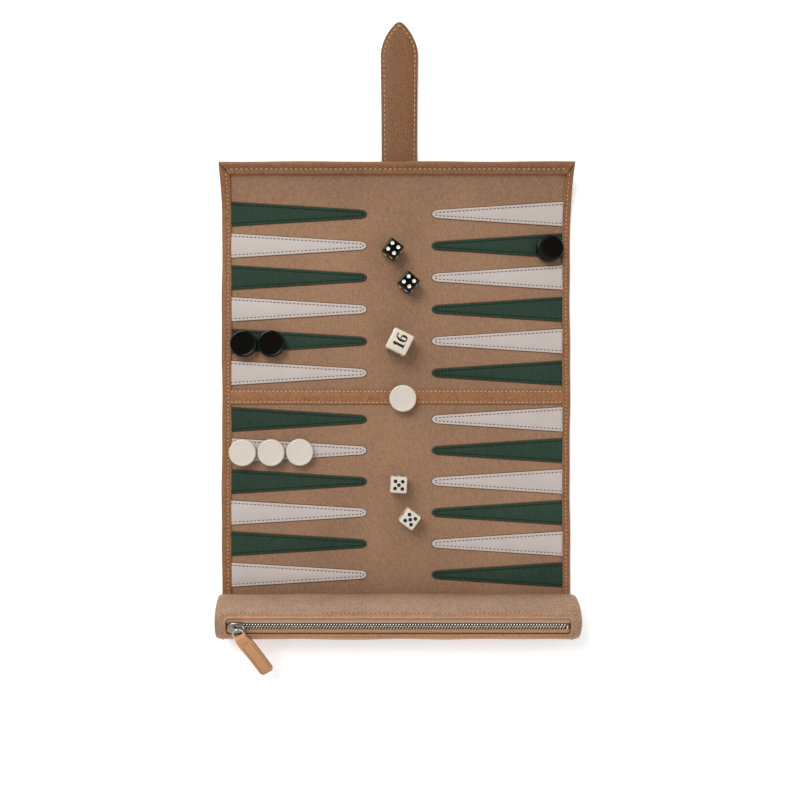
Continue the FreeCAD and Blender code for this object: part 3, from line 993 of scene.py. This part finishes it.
def pouch_out(point):
    return (point - Vector((point.x, POUCH_CENTRE.y, POUCH_CENTRE.z))).normalized()


def pouch_seam(builder, line, lift):
    """Stitches along a line on the pouch."""
    route = Route(line)

    def place(distance):
        p = route.at(distance)
        out = pouch_out(p)
        return p + out * lift, out
    stitch_line(builder, place, route.length, *POUCH_STITCH)


def make_pouch_edging():
    """The bound lip of the zip window, the seam round it, and the seam along each end of the tube."""
    builder = Builder()
    loops = [on_pouch(grow * MM, lift * MM) for grow, lift in LIP_PROFILE]
    around = list(range(len(loops[0]))) + [0]
    # Kind 3, the lip's inner wall down to the tape and its underside, is dark brown: painted shadow under
    # the lip.
    for part, kind in ((loops[:3], 3), (loops[2:], 0), ((loops[-1], loops[0]), 3)):
        builder.loft([[loop[i] for loop in part] for i in around], kind, closed=False, caps=False)
    seam = on_pouch(3.0 * MM, 0.05 * MM)
    pouch_seam(builder, seam + seam[:1], 0.0)
    for side in (-1, 1):
        pouch_seam(builder, pouch_ring(side * (HALF_WIDTH - 4.6 * MM), 0.0, 144)[6:70], 0.05 * MM)
    edging = builder.object("pouch_edging", LIP_LEATHER, TAN_THREAD, HOLE_SHADE, EDGE_PAINT_AND_SHADE)
    weld(edging)
    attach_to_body(edging, "pouch")


TAPE_SECTION = ((-7.4, -3.0), (-6.3, -2.2), (-4.2, -1.45), (-2.2, -1.5), (0.0, -1.5), (2.2, -1.5),
                (4.2, -1.45), (6.3, -2.2), (7.4, -3.0), (7.3, -3.5), (4.2, -2.0), (0.0, -2.1), (-4.2, -2.0),
                (-7.3, -3.5))
TAPE_BED = ((-2.3, -1.40), (-2.0, -1.25), (2.0, -1.25), (2.3, -1.40), (2.3, -1.6), (-2.3, -1.6))
TOOTH_PITCH = 2.0 * MM


def make_tape():
    builder = Builder()
    length = WINDOW[0]
    rings = []
    for x in np.linspace(-length - 0.6 * MM, length + 0.6 * MM, 120):
        ripple = 0.08 * MM * math.sin(x * 160)
        rings.append([zip_place(x, y * MM + ripple, z * MM) for y, z in TAPE_SECTION])
    builder.loft(rings)
    # The bed under the teeth is dark brown: painted shade in the gaps between the teeth.
    builder.loft([[zip_place(x, y * MM, z * MM) for y, z in TAPE_BED] for x in (-length, length)], 1)
    tape = builder.object("zip_tape_cloth", TAPE, EDGE_PAINT_AND_SHADE)
    attach(tape, "pouch", "zip_tape")


def make_teeth():
    builder = Builder()
    low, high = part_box("zip_teeth")
    for side in (-1, 1):
        for i in range(int((high.x - low.x) / TOOTH_PITCH)):
            add_tooth(builder, low.x + (i + 0.25 + 0.5 * (side > 0)) * TOOTH_PITCH, side)
    stop = ((-1.6, -0.9), (1.6, -0.9), (1.9, 0.0), (1.6, 0.9), (-1.6, 0.9), (-1.9, 0.0))
    for x in (low.x - 0.9 * MM, high.x + 0.6 * MM):
        builder.loft([[zip_place(x + b * grow * MM * 0.8, a * grow * MM, z * MM) for a, b in stop]
                      for z, grow in ((-1.4, 0.9), (-1.0, 1.0), (-0.2, 1.0), (0.05, 0.8))])
    teeth = sharpen(builder.object("zip_teeth_metal", SILVER), 50)
    attach(teeth, "pouch", "zip_teeth")


def add_tooth(builder, x, side):
    """One tooth: a clamped foot on the tape edge and a narrower nose past the middle."""
    outline = [(2.15, 0.40), (0.9, 0.44), (0.3, 0.34), (-0.55, 0.30), (-0.75, 0.0)]
    outline += [(a, -b) for a, b in outline[-2::-1]]
    rings = []
    for z, grow in ((-1.45, 0.85), (-1.2, 1.0), (-0.6, 1.0), (-0.25, 0.88), (-0.02, 0.6), (0.06, 0.25)):
        ring = []
        for a, b in outline:
            slant = 0.28 * (a - 0.6) * side
            across = side * (0.6 + (a - 0.6) * grow)
            ring.append(zip_place(x + (b * grow + slant) * MM, across * MM, z * MM))
        rings.append(ring)
    builder.loft(rings)


SLIDER_PLATE = ((0.75, 0.88), (0.95, 1.0), (1.55, 1.0), (1.9, 0.93), (2.05, 0.80))  # height, size
SLIDER_SKIRT = ((-0.80, 2.75), (0.72, 2.75), (0.80, 3.1), (0.72, 3.45), (-0.80, 3.6), (-0.88, 3.2))
SLIDER_HALF_WIDTH = 3.9 * MM
BRIDGE_TURN = math.radians(-30.25)  # the bridge stands across the way the tab hangs
BRIDGE_REACH = 2.35 * MM
BRIDGE_SECTION = ((-0.45, -0.35), (0.45, -0.35), (0.45, 0.25), (0.25, 0.4), (-0.25, 0.4), (-0.45, 0.25))


def slider_outline(half_length, steps=40):
    """A rounded plate with a waist, narrower at its nose, as (x, y) points."""
    outline = []
    for k in range(steps):
        angle = math.tau * k / steps
        c, s = math.cos(angle), math.sin(angle)
        waist = 1.0 - 0.22 * max(0.0, c) - 0.06 * math.cos(2 * angle)
        outline.append((half_length * math.copysign(abs(c) ** 0.75, c),
                        SLIDER_HALF_WIDTH * math.copysign(abs(s) ** 0.7, s) * waist))
    return outline


def slider_bridge(centre_x):
    """The domed bridge that holds the ring."""
    across = Vector((math.cos(BRIDGE_TURN), math.sin(BRIDGE_TURN), 0))
    wide = Vector((-math.sin(BRIDGE_TURN), math.cos(BRIDGE_TURN), 0))
    rings = []
    for angle in np.linspace(0, math.pi, 15):
        out_x, out_z = -math.cos(angle), math.sin(angle)
        ring = []
        for a, b in BRIDGE_SECTION:
            p = across * (out_x * (BRIDGE_REACH + b * MM)) + wide * (a * 1.6 * MM)
            ring.append(zip_place(centre_x + p.x, p.y, (1.95 + (2.09 + b) * out_z) * MM))
        rings.append(ring)
    return rings


def make_slider():
    """Slider: a waisted top plate, side skirts round the teeth, and a domed bridge for the ring."""
    low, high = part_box("zip_slider")
    centre_x = (low.x + high.x) / 2
    half_length = (high.x - low.x) / 2
    outline = slider_outline(half_length)
    builder = Builder()
    builder.loft([[zip_place(centre_x + x * grow, y * grow, z * MM) for x, y in outline]
                  for z, grow in SLIDER_PLATE])
    for side in (-1, 1):
        builder.loft([[zip_place(centre_x + x * half_length, side * y * MM, z * MM)
                       for x, y in SLIDER_SKIRT] for z in (-1.15, 0.9)])
    builder.loft(slider_bridge(centre_x))
    piece = builder.object("zip_slider_metal", NICKEL, crisp=40)
    attach(piece, "zip_slider", "zip_slider")


# ---- pull tab ----------------------------------------------------------------------------------
TAB_HEADING = math.radians(-60.5)
TAB_DROP = math.radians(22.0)
TAB_LENGTH = 38.6 * MM
TAB_HALF = 5.1 * MM
TAB_LAYER_GAP = 0.05 * MM
TAB_SPREAD = 0.95 * MM  # how far the layers part at the ring
TAB_SPREAD_END = 0.13  # share of the length where they meet
TAB_ALONG = Vector((math.cos(TAB_HEADING) * math.cos(TAB_DROP), math.sin(TAB_HEADING) * math.cos(TAB_DROP),
                    -math.sin(TAB_DROP)))
TAB_ACROSS = Vector((-math.sin(TAB_HEADING), math.cos(TAB_HEADING), 0))
TAB_NORMAL = TAB_ALONG.cross(TAB_ACROSS)
RING_LOW, RING_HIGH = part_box("pull_ring")
TAB_START = (RING_LOW + RING_HIGH) / 2 + TAB_ALONG * (3.6 * MM)
TAB_SECTION = ((-1, 0.1), (-0.99, 0.55), (-0.93, 0.75), (-0.78, 0.78), (-0.72, 0.66), (-0.66, 0.78),
               (0.0, 0.82), (0.66, 0.78), (0.72, 0.66), (0.78, 0.78), (0.93, 0.75), (0.99, 0.55), (1, 0.1),
               (0.9, 0.0), (-0.9, 0.0))
TAB_EDGE = ((0.985, 0.02), (1.012, 0.08), (1.012, 0.5), (0.985, 0.64))


def tab_line(t):
    """The tab's middle at share t of its length: it rises out of the ring, then falls to the tip."""
    lift = 1.1 * MM * math.sin(math.pi * t) - 1.2 * MM * t * t
    sway = 0.8 * MM * math.sin(math.pi * t)
    return TAB_START + TAB_ALONG * (TAB_LENGTH * t) + TAB_NORMAL * lift + TAB_ACROSS * sway


def tab_width(t):
    """Half width at share t: a little narrower at the ring, with cut corners at the tip."""
    neck = 0.80 + 0.20 * min(1.0, t / 0.16)
    if t > 0.93:
        neck *= 1 - 0.28 * ((t - 0.93) / 0.07) ** 1.5
    return TAB_HALF * neck


def tab_layer(sign, section, side=1):
    """Rings along one of the two layers; the section is (share of half width, height in mm)."""
    rings = []
    for t in np.linspace(0.0, 1.0, 40):
        near = max(0.0, 1 - t / TAB_SPREAD_END)
        p = tab_line(t) + TAB_NORMAL * (sign * (TAB_LAYER_GAP + TAB_SPREAD * near ** 0.5))
        half = side * tab_width(t)
        rings.append([p + TAB_ACROSS * (a * half) + TAB_NORMAL * (sign * b * MM) for a, b in section])
    return rings


def tab_fold():
    """The bend that joins the two layers round the ring."""
    inner, outer = 0.95 * MM, 1.78 * MM
    shoulder = outer - 0.1 * MM
    section = ((-1, inner), (1, inner), (1, shoulder), (0.9, outer), (-0.9, outer), (-1, shoulder))
    rings = []
    for angle in np.linspace(math.pi / 2, 1.5 * math.pi, 13):
        direction = TAB_ALONG * math.cos(angle) + TAB_NORMAL * math.sin(angle)
        rings.append([TAB_START + direction * r + TAB_ACROSS * (a * tab_width(0.0)) for a, r in section])
    return rings


def make_tab():
    """Leather pull: a strip folded round the ring and sewn to itself, hanging in a soft curve."""
    builder = Builder()
    for sign in (1, -1):
        builder.loft(tab_layer(sign, TAB_SECTION))
        for side in (-1, 1):
            builder.loft(tab_layer(sign, TAB_EDGE, side), 3)
    builder.loft(tab_fold())
    for side in (-1, 1):
        def long_row(distance, side=side):
            t = 0.17 + distance / TAB_LENGTH
            tip = 1.0 if t < 0.90 else 1.0 - 0.3 * (t - 0.90) / 0.1
            across = side * 0.72 * tab_width(t) * tip
            return tab_line(t) + TAB_ACROSS * across + TAB_NORMAL * 0.86 * MM, TAB_NORMAL
        stitch_line(builder, long_row, TAB_LENGTH * 0.78, *TAB_STITCH)
    for t in (0.155, 0.955):
        def cross_row(distance, t=t):
            across = distance - 0.62 * tab_width(t)
            return tab_line(t) + TAB_ACROSS * across + TAB_NORMAL * 0.88 * MM, TAB_NORMAL
        stitch_line(builder, cross_row, 1.24 * tab_width(t), *TAB_STITCH)
    piece = builder.object("pull_tab_leather", TAB_LEATHER, TAN_THREAD, HOLE_SHADE, EDGE_PAINT_AND_SHADE)
    attach(piece, "pull_tab", "pull_tab")


# ---- game pieces -------------------------------------------------------------------------------
CHECKER_PROFILE = ((0.5, 0.965), (0.80, 0.968), (0.845, 0.985), (0.875, 1.0), (0.905, 1.0), (0.94, 0.985),
                   (0.972, 0.94), (0.992, 0.86), (1.0, 0.72))  # shares of radius and thickness


def make_checker(node, material, steps=96):
    """A turned disc with a raised rim round each face."""
    low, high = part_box(node)
    centre = (low + high) / 2
    radius = (high.x - low.x) / 2
    rings = []
    angles = [math.tau * k / steps for k in range(steps)]
    for r, h in list(CHECKER_PROFILE) + [(r, 1 - h) for r, h in CHECKER_PROFILE[::-1]]:
        z = low.z + (high.z - low.z) * h
        rings.append([Vector((centre.x + radius * r * math.cos(a), centre.y + radius * r * math.sin(a), z))
                      for a in angles])
    builder = Builder()
    builder.loft(rings)
    attach(builder.object(node + "_resin", material), node, node)


PIP_SPACING = 2.65 * MM
PIP_LIFT = 0.65 * MM  # the drill's ball centre above the face
PIP_RADIUS = 1.56 * MM
SMALL_PIP_RADIUS = 1.30 * MM  # six pips have less room
DIE_ROUNDING = 1.25 * MM
CUBE_ROUNDING = 1.5 * MM
CUBE_TURN = -26.5  # degrees about Z
FACE_NUMBERS = {4: (4, 3, 6, 1, 5, 2), 5: (5, 2, 6, 1, 4, 3)}  # by the number on top, in FACES order
PIPS = {
    1: [(0, 0)],
    2: [(-1, -1), (1, 1)],
    3: [(-1, -1), (0, 0), (1, 1)],
    4: [(-1, -1), (-1, 1), (1, -1), (1, 1)],
    5: [(-1, -1), (-1, 1), (0, 0), (1, -1), (1, 1)],
    6: [(-1, -1), (-1, 0), (-1, 1), (1, -1), (1, 0), (1, 1)],
}
FACES = [(Vector((0, 0, 1)), Vector((1, 0, 0))), (Vector((0, 0, -1)), Vector((1, 0, 0))),
         (Vector((1, 0, 0)), Vector((0, 1, 0))), (Vector((-1, 0, 0)), Vector((0, 1, 0))),
         (Vector((0, 1, 0)), Vector((1, 0, 0))), (Vector((0, -1, 0)), Vector((1, 0, 0)))]


def rounded_block(name, size, rounding, material):
    work = bmesh.new()
    bmesh.ops.create_cube(work, size=size)
    bmesh.ops.bevel(work, geom=list(work.edges), offset=rounding, segments=6, profile=0.5, affect="EDGES")
    return bmesh_object(name, work, material, smooth=True)


def bmesh_object(name, work, material, smooth=False):
    """Turns a bmesh into an object and frees it."""
    mesh = bpy.data.meshes.new(name)
    work.to_mesh(mesh)
    work.free()
    mesh.materials.append(material)
    mesh.polygons.foreach_set("use_smooth", np.full(len(mesh.polygons), smooth))
    obj = bpy.data.objects.new(name, mesh)
    bpy.context.scene.collection.objects.link(obj)
    return obj


def resting(node, turn):
    """The placement of a block that is made at the origin: where its CAD node is, turned about Z."""
    low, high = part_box(node)
    return Matrix.Translation((low + high) / 2) @ Matrix.Rotation(math.radians(turn), 4, "Z")


def make_die(node, top, turn, body, pip):
    low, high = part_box(node)
    size = high.z - low.z
    die = rounded_block(node + "_resin", size, DIE_ROUNDING, body)
    balls = bmesh.new()
    for (normal, across), number in zip(FACES, FACE_NUMBERS[top]):
        up = normal.cross(across)
        radius = SMALL_PIP_RADIUS if number == 6 else PIP_RADIUS
        for a, b in PIPS[number]:
            at = normal * (size / 2 + PIP_LIFT) + across * (a * PIP_SPACING) + up * (b * PIP_SPACING)
            bmesh.ops.create_uvsphere(balls, u_segments=24, v_segments=16, radius=radius,
                                      matrix=Matrix.Translation(at))
    carve(die, [bmesh_object("pips", balls, pip)], material_mode="TRANSFER")
    sharpen(die, 32)
    die.data.transform(resting(node, turn))
    attach(die, node, node)


# Strokes of each numeral: centre line points, each with the pen's width there, on a 10 by 14 grid.
NUMERALS = {
    "1": [[(2.4, 11.2, 0.6), (4.6, 12.6, 1.0), (5.6, 14.0, 1.2)],
          [(5.4, 14.0, 2.5), (5.4, 7.0, 2.5), (5.4, 0.3, 2.5)],
          [(2.3, 0.35, 0.7), (5.4, 0.35, 0.7), (8.5, 0.35, 0.7)]],
    "2": [[(1.6, 10.2, 1.8), (2.0, 12.4, 1.2), (4.6, 13.7, 0.7), (7.4, 12.5, 1.6), (8.0, 10.2, 2.4),
           (6.9, 7.2, 1.8), (4.3, 4.4, 1.0), (1.6, 1.2, 0.8)],
          [(1.3, 1.0, 2.0), (5.0, 1.0, 2.0), (8.6, 1.0, 1.6), (9.0, 3.4, 0.5)]],
    "3": [[(1.6, 11.2, 1.8), (3.2, 13.4, 0.8), (6.0, 13.2, 1.3), (7.3, 10.8, 2.2), (6.0, 8.2, 1.2),
           (3.8, 7.5, 0.6)],
          [(3.8, 7.5, 0.6), (6.6, 6.8, 1.2), (8.2, 4.0, 2.4), (6.6, 1.2, 1.4), (3.6, 0.5, 0.8),
           (1.5, 2.6, 1.8)]],
    "4": [[(6.2, 14.0, 0.7), (3.6, 9.4, 0.7), (0.8, 4.6, 0.7)],
          [(0.6, 4.3, 0.9), (5.0, 4.3, 0.9), (9.4, 4.3, 0.9)],
          [(6.6, 14.0, 2.4), (6.6, 7.0, 2.4), (6.6, 0.3, 2.4)],
          [(4.2, 0.35, 0.7), (6.6, 0.35, 0.7), (9.0, 0.35, 0.7)]],
    "6": [[(8.2, 12.2, 1.7), (6.6, 13.6, 0.9), (4.2, 12.8, 1.2), (2.4, 9.6, 2.1), (2.0, 6.0, 2.4),
           (2.8, 2.2, 1.8), (5.2, 0.5, 0.8), (7.6, 2.0, 1.8), (8.0, 4.6, 2.3), (7.2, 7.2, 1.7),
           (5.2, 8.2, 0.8), (3.2, 7.0, 0.7)]],
    "8": [[(5.0, 13.6, 0.8), (2.6, 12.0, 1.8), (3.0, 9.4, 2.0), (5.4, 7.4, 1.8), (7.8, 5.2, 2.0),
           (8.0, 2.4, 1.9), (5.0, 0.5, 0.8), (2.2, 2.2, 1.8), (2.4, 4.8, 1.4), (4.8, 7.2, 0.9),
           (7.2, 9.4, 1.2), (7.4, 12.0, 1.6), (5.0, 13.6, 0.8)]],
}


PEN = 1.3  # the pen's width against the grid's


def stroke_ribbon(builder, points, place):
    """A pen stroke of changing width, smoothed through its points, as a thin inlaid slab."""
    line = []
    for i in range(len(points) - 1):
        p0 = points[max(0, i - 1)]
        p1, p2 = points[i], points[i + 1]
        p3 = points[min(len(points) - 1, i + 2)]
        for t in np.linspace(0, 1, 9)[:-1]:
            line.append(tuple(0.5 * (2 * b + (c - a) * t + (2 * a - 5 * b + 4 * c - d) * t ** 2
                                     + (3 * b - a - 3 * c + d) * t ** 3)
                              for a, b, c, d in zip(p0, p1, p2, p3)))
    line.append(points[-1])
    rings = []
    for i, (x, y, w) in enumerate(line):
        ax, ay, _ = line[max(0, i - 1)]
        bx, by, _ = line[min(len(line) - 1, i + 1)]
        dx, dy = bx - ax, by - ay
        size = math.hypot(dx, dy) or 1.0
        nx, ny = -dy / size * w * PEN / 2, dx / size * w * PEN / 2
        rings.append([place(x + nx, y + ny, -1), place(x - nx, y - ny, -1), place(x - nx, y - ny, 1),
                      place(x + nx, y + ny, 1)])
    builder.loft(rings)


CUBE_SIDES = (("16", "Y"), ("2", "X"), ("8", "Y"), ("32", "Y"), ("4", "-X"), ("64", "X"))  # in FACES order
READING = {"X": Vector((1, 0, 0)), "-X": Vector((-1, 0, 0)), "Y": Vector((0, 1, 0))}
NUMERAL_SCALE = 0.60 * MM
NUMERAL_WIDTH = 9.2
INK_THICK = 0.02 * MM


def make_cube():
    node = "doubling_cube"
    low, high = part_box(node)
    size = high.z - low.z
    spin = resting(node, CUBE_TURN)
    cube = rounded_block(node + "_resin", size, CUBE_ROUNDING, CUBE_IVORY)
    cube.data.transform(spin)
    builder = Builder()
    for (normal, _), (text, reading) in zip(FACES, CUBE_SIDES):
        across = READING[reading]
        up = normal.cross(across)
        for index, digit in enumerate(text):
            start = NUMERAL_WIDTH * (index - len(text) / 2)

            def place(x, y, layer, start=start):
                flat = across * ((x + start) * NUMERAL_SCALE) + up * ((y - 7.0) * NUMERAL_SCALE)
                return spin @ (normal * (size / 2 + layer * INK_THICK) + flat)
            for stroke in NUMERALS[digit]:
                stroke_ribbon(builder, stroke, place)
    ink = builder.object("doubling_cube_numerals", PIP_BLACK)
    attach(cube, node, node)
    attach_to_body(ink, node)


def make_game_pieces():
    for i in (1, 2, 3):
        make_checker("black_checker_%d" % i, BLACK)
    for i in (1, 2, 3, 4):
        make_checker("white_checker_%d" % i, IVORY)
    for i, turn in ((1, -36.5), (2, -41.5)):
        make_die("black_die_%d" % i, 4, turn, BLACK, PIP_WHITE)
    for i, turn in ((1, -3.5), (2, -36.0)):
        make_die("white_die_%d" % i, 5, turn, DIE_IVORY, PIP_BLACK)
    make_cube()


def paint_kept_nodes():
    """CAD nodes that stay as they are get their finish."""
    for name, material in (("pull_ring", CHROME), ("stored_black_checkers", BLACK),
                           ("stored_white_checkers", IVORY)):
        mesh = frame["nodes"][name].data
        mesh.materials.clear()
        mesh.materials.append(material)


# ---- floor and light ---------------------------------------------------------------------------
FLOOR_HALF = 6.0
FLOOR_DROP = 0.2 * MM  # just under the set, so that the two don't flicker
WORLD_STRENGTH = 0.80
SKY = ((0.0, 0.70), (0.35, 0.95), (0.80, 0.90), (0.93, 0.16))  # height, brightness; darker overhead


def make_stage():
    s = Shader("floor_paper", Roughness=0.9, Specular_IOR_Level=0.1, Emission_Strength=0.22)
    s.shader.inputs["Emission Color"].default_value = (1.0, 1.0, 1.0, 1.0)
    s.colour(s.ramp(s.noise(6.0, 2.0), (0.3, (0.97, 0.97, 0.97, 1)), (0.7, (1.0, 1.0, 1.0, 1))))
    corners = [(x * FLOOR_HALF, y * FLOOR_HALF, -FLOOR_DROP)
               for x, y in ((-1, -1), (1, -1), (1, 1), (-1, 1))]
    new_object("floor", corners, [(0, 1, 2, 3)], [s.material], smooth=False)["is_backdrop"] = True


def area_light(name, place, size, power, colour=(1, 1, 1)):
    data = bpy.data.lights.new(name, "AREA")
    data.shape = "RECTANGLE"
    data.size, data.size_y = size
    data.energy = power
    data.color = colour
    light = bpy.data.objects.new(name, data)
    bpy.context.scene.collection.objects.link(light)
    light.location = place
    light.rotation_mode = "QUATERNION"
    light.rotation_quaternion = (-Vector(place)).to_track_quat("-Z", "Y")


def make_light():
    area_light("key", (-0.75, 1.0, 1.25), (0.9, 0.9), 22.0, (1.0, 0.985, 0.96))
    area_light("fill", (0.9, -0.7, 1.4), (1.6, 1.6), 5.0, (0.97, 0.98, 1.0))
    world = bpy.data.worlds.new("studio")
    world.use_nodes = True
    nodes, links = world.node_tree.nodes, world.node_tree.links
    direction = nodes.new("ShaderNodeTexCoord").outputs["Generated"]
    height = nodes.new("ShaderNodeSeparateXYZ")
    links.new(direction, height.inputs[0])
    ramp = nodes.new("ShaderNodeValToRGB")
    links.new(height.outputs["Z"], ramp.inputs["Fac"])
    while len(ramp.color_ramp.elements) < len(SKY):
        ramp.color_ramp.elements.new(0.5)
    for element, (place, level) in zip(ramp.color_ramp.elements, SKY):
        element.position = place
        element.color = (level, level, level, 1.0)
    links.new(ramp.outputs["Color"], nodes["Background"].inputs["Color"])
    nodes["Background"].inputs["Strength"].default_value = WORLD_STRENGTH
    bpy.context.scene.world = world
    bpy.context.scene.view_settings.view_transform = "Standard"


make_mat()
for row in range(1, ROWS + 1):
    make_point(row, "green")
    make_point(row, "white")
make_bar()
make_strap()
make_pouch()
make_pouch_edging()
make_tape()
make_teeth()
make_slider()
make_tab()
make_game_pieces()
paint_kept_nodes()
make_stage()
make_light()

low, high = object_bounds()
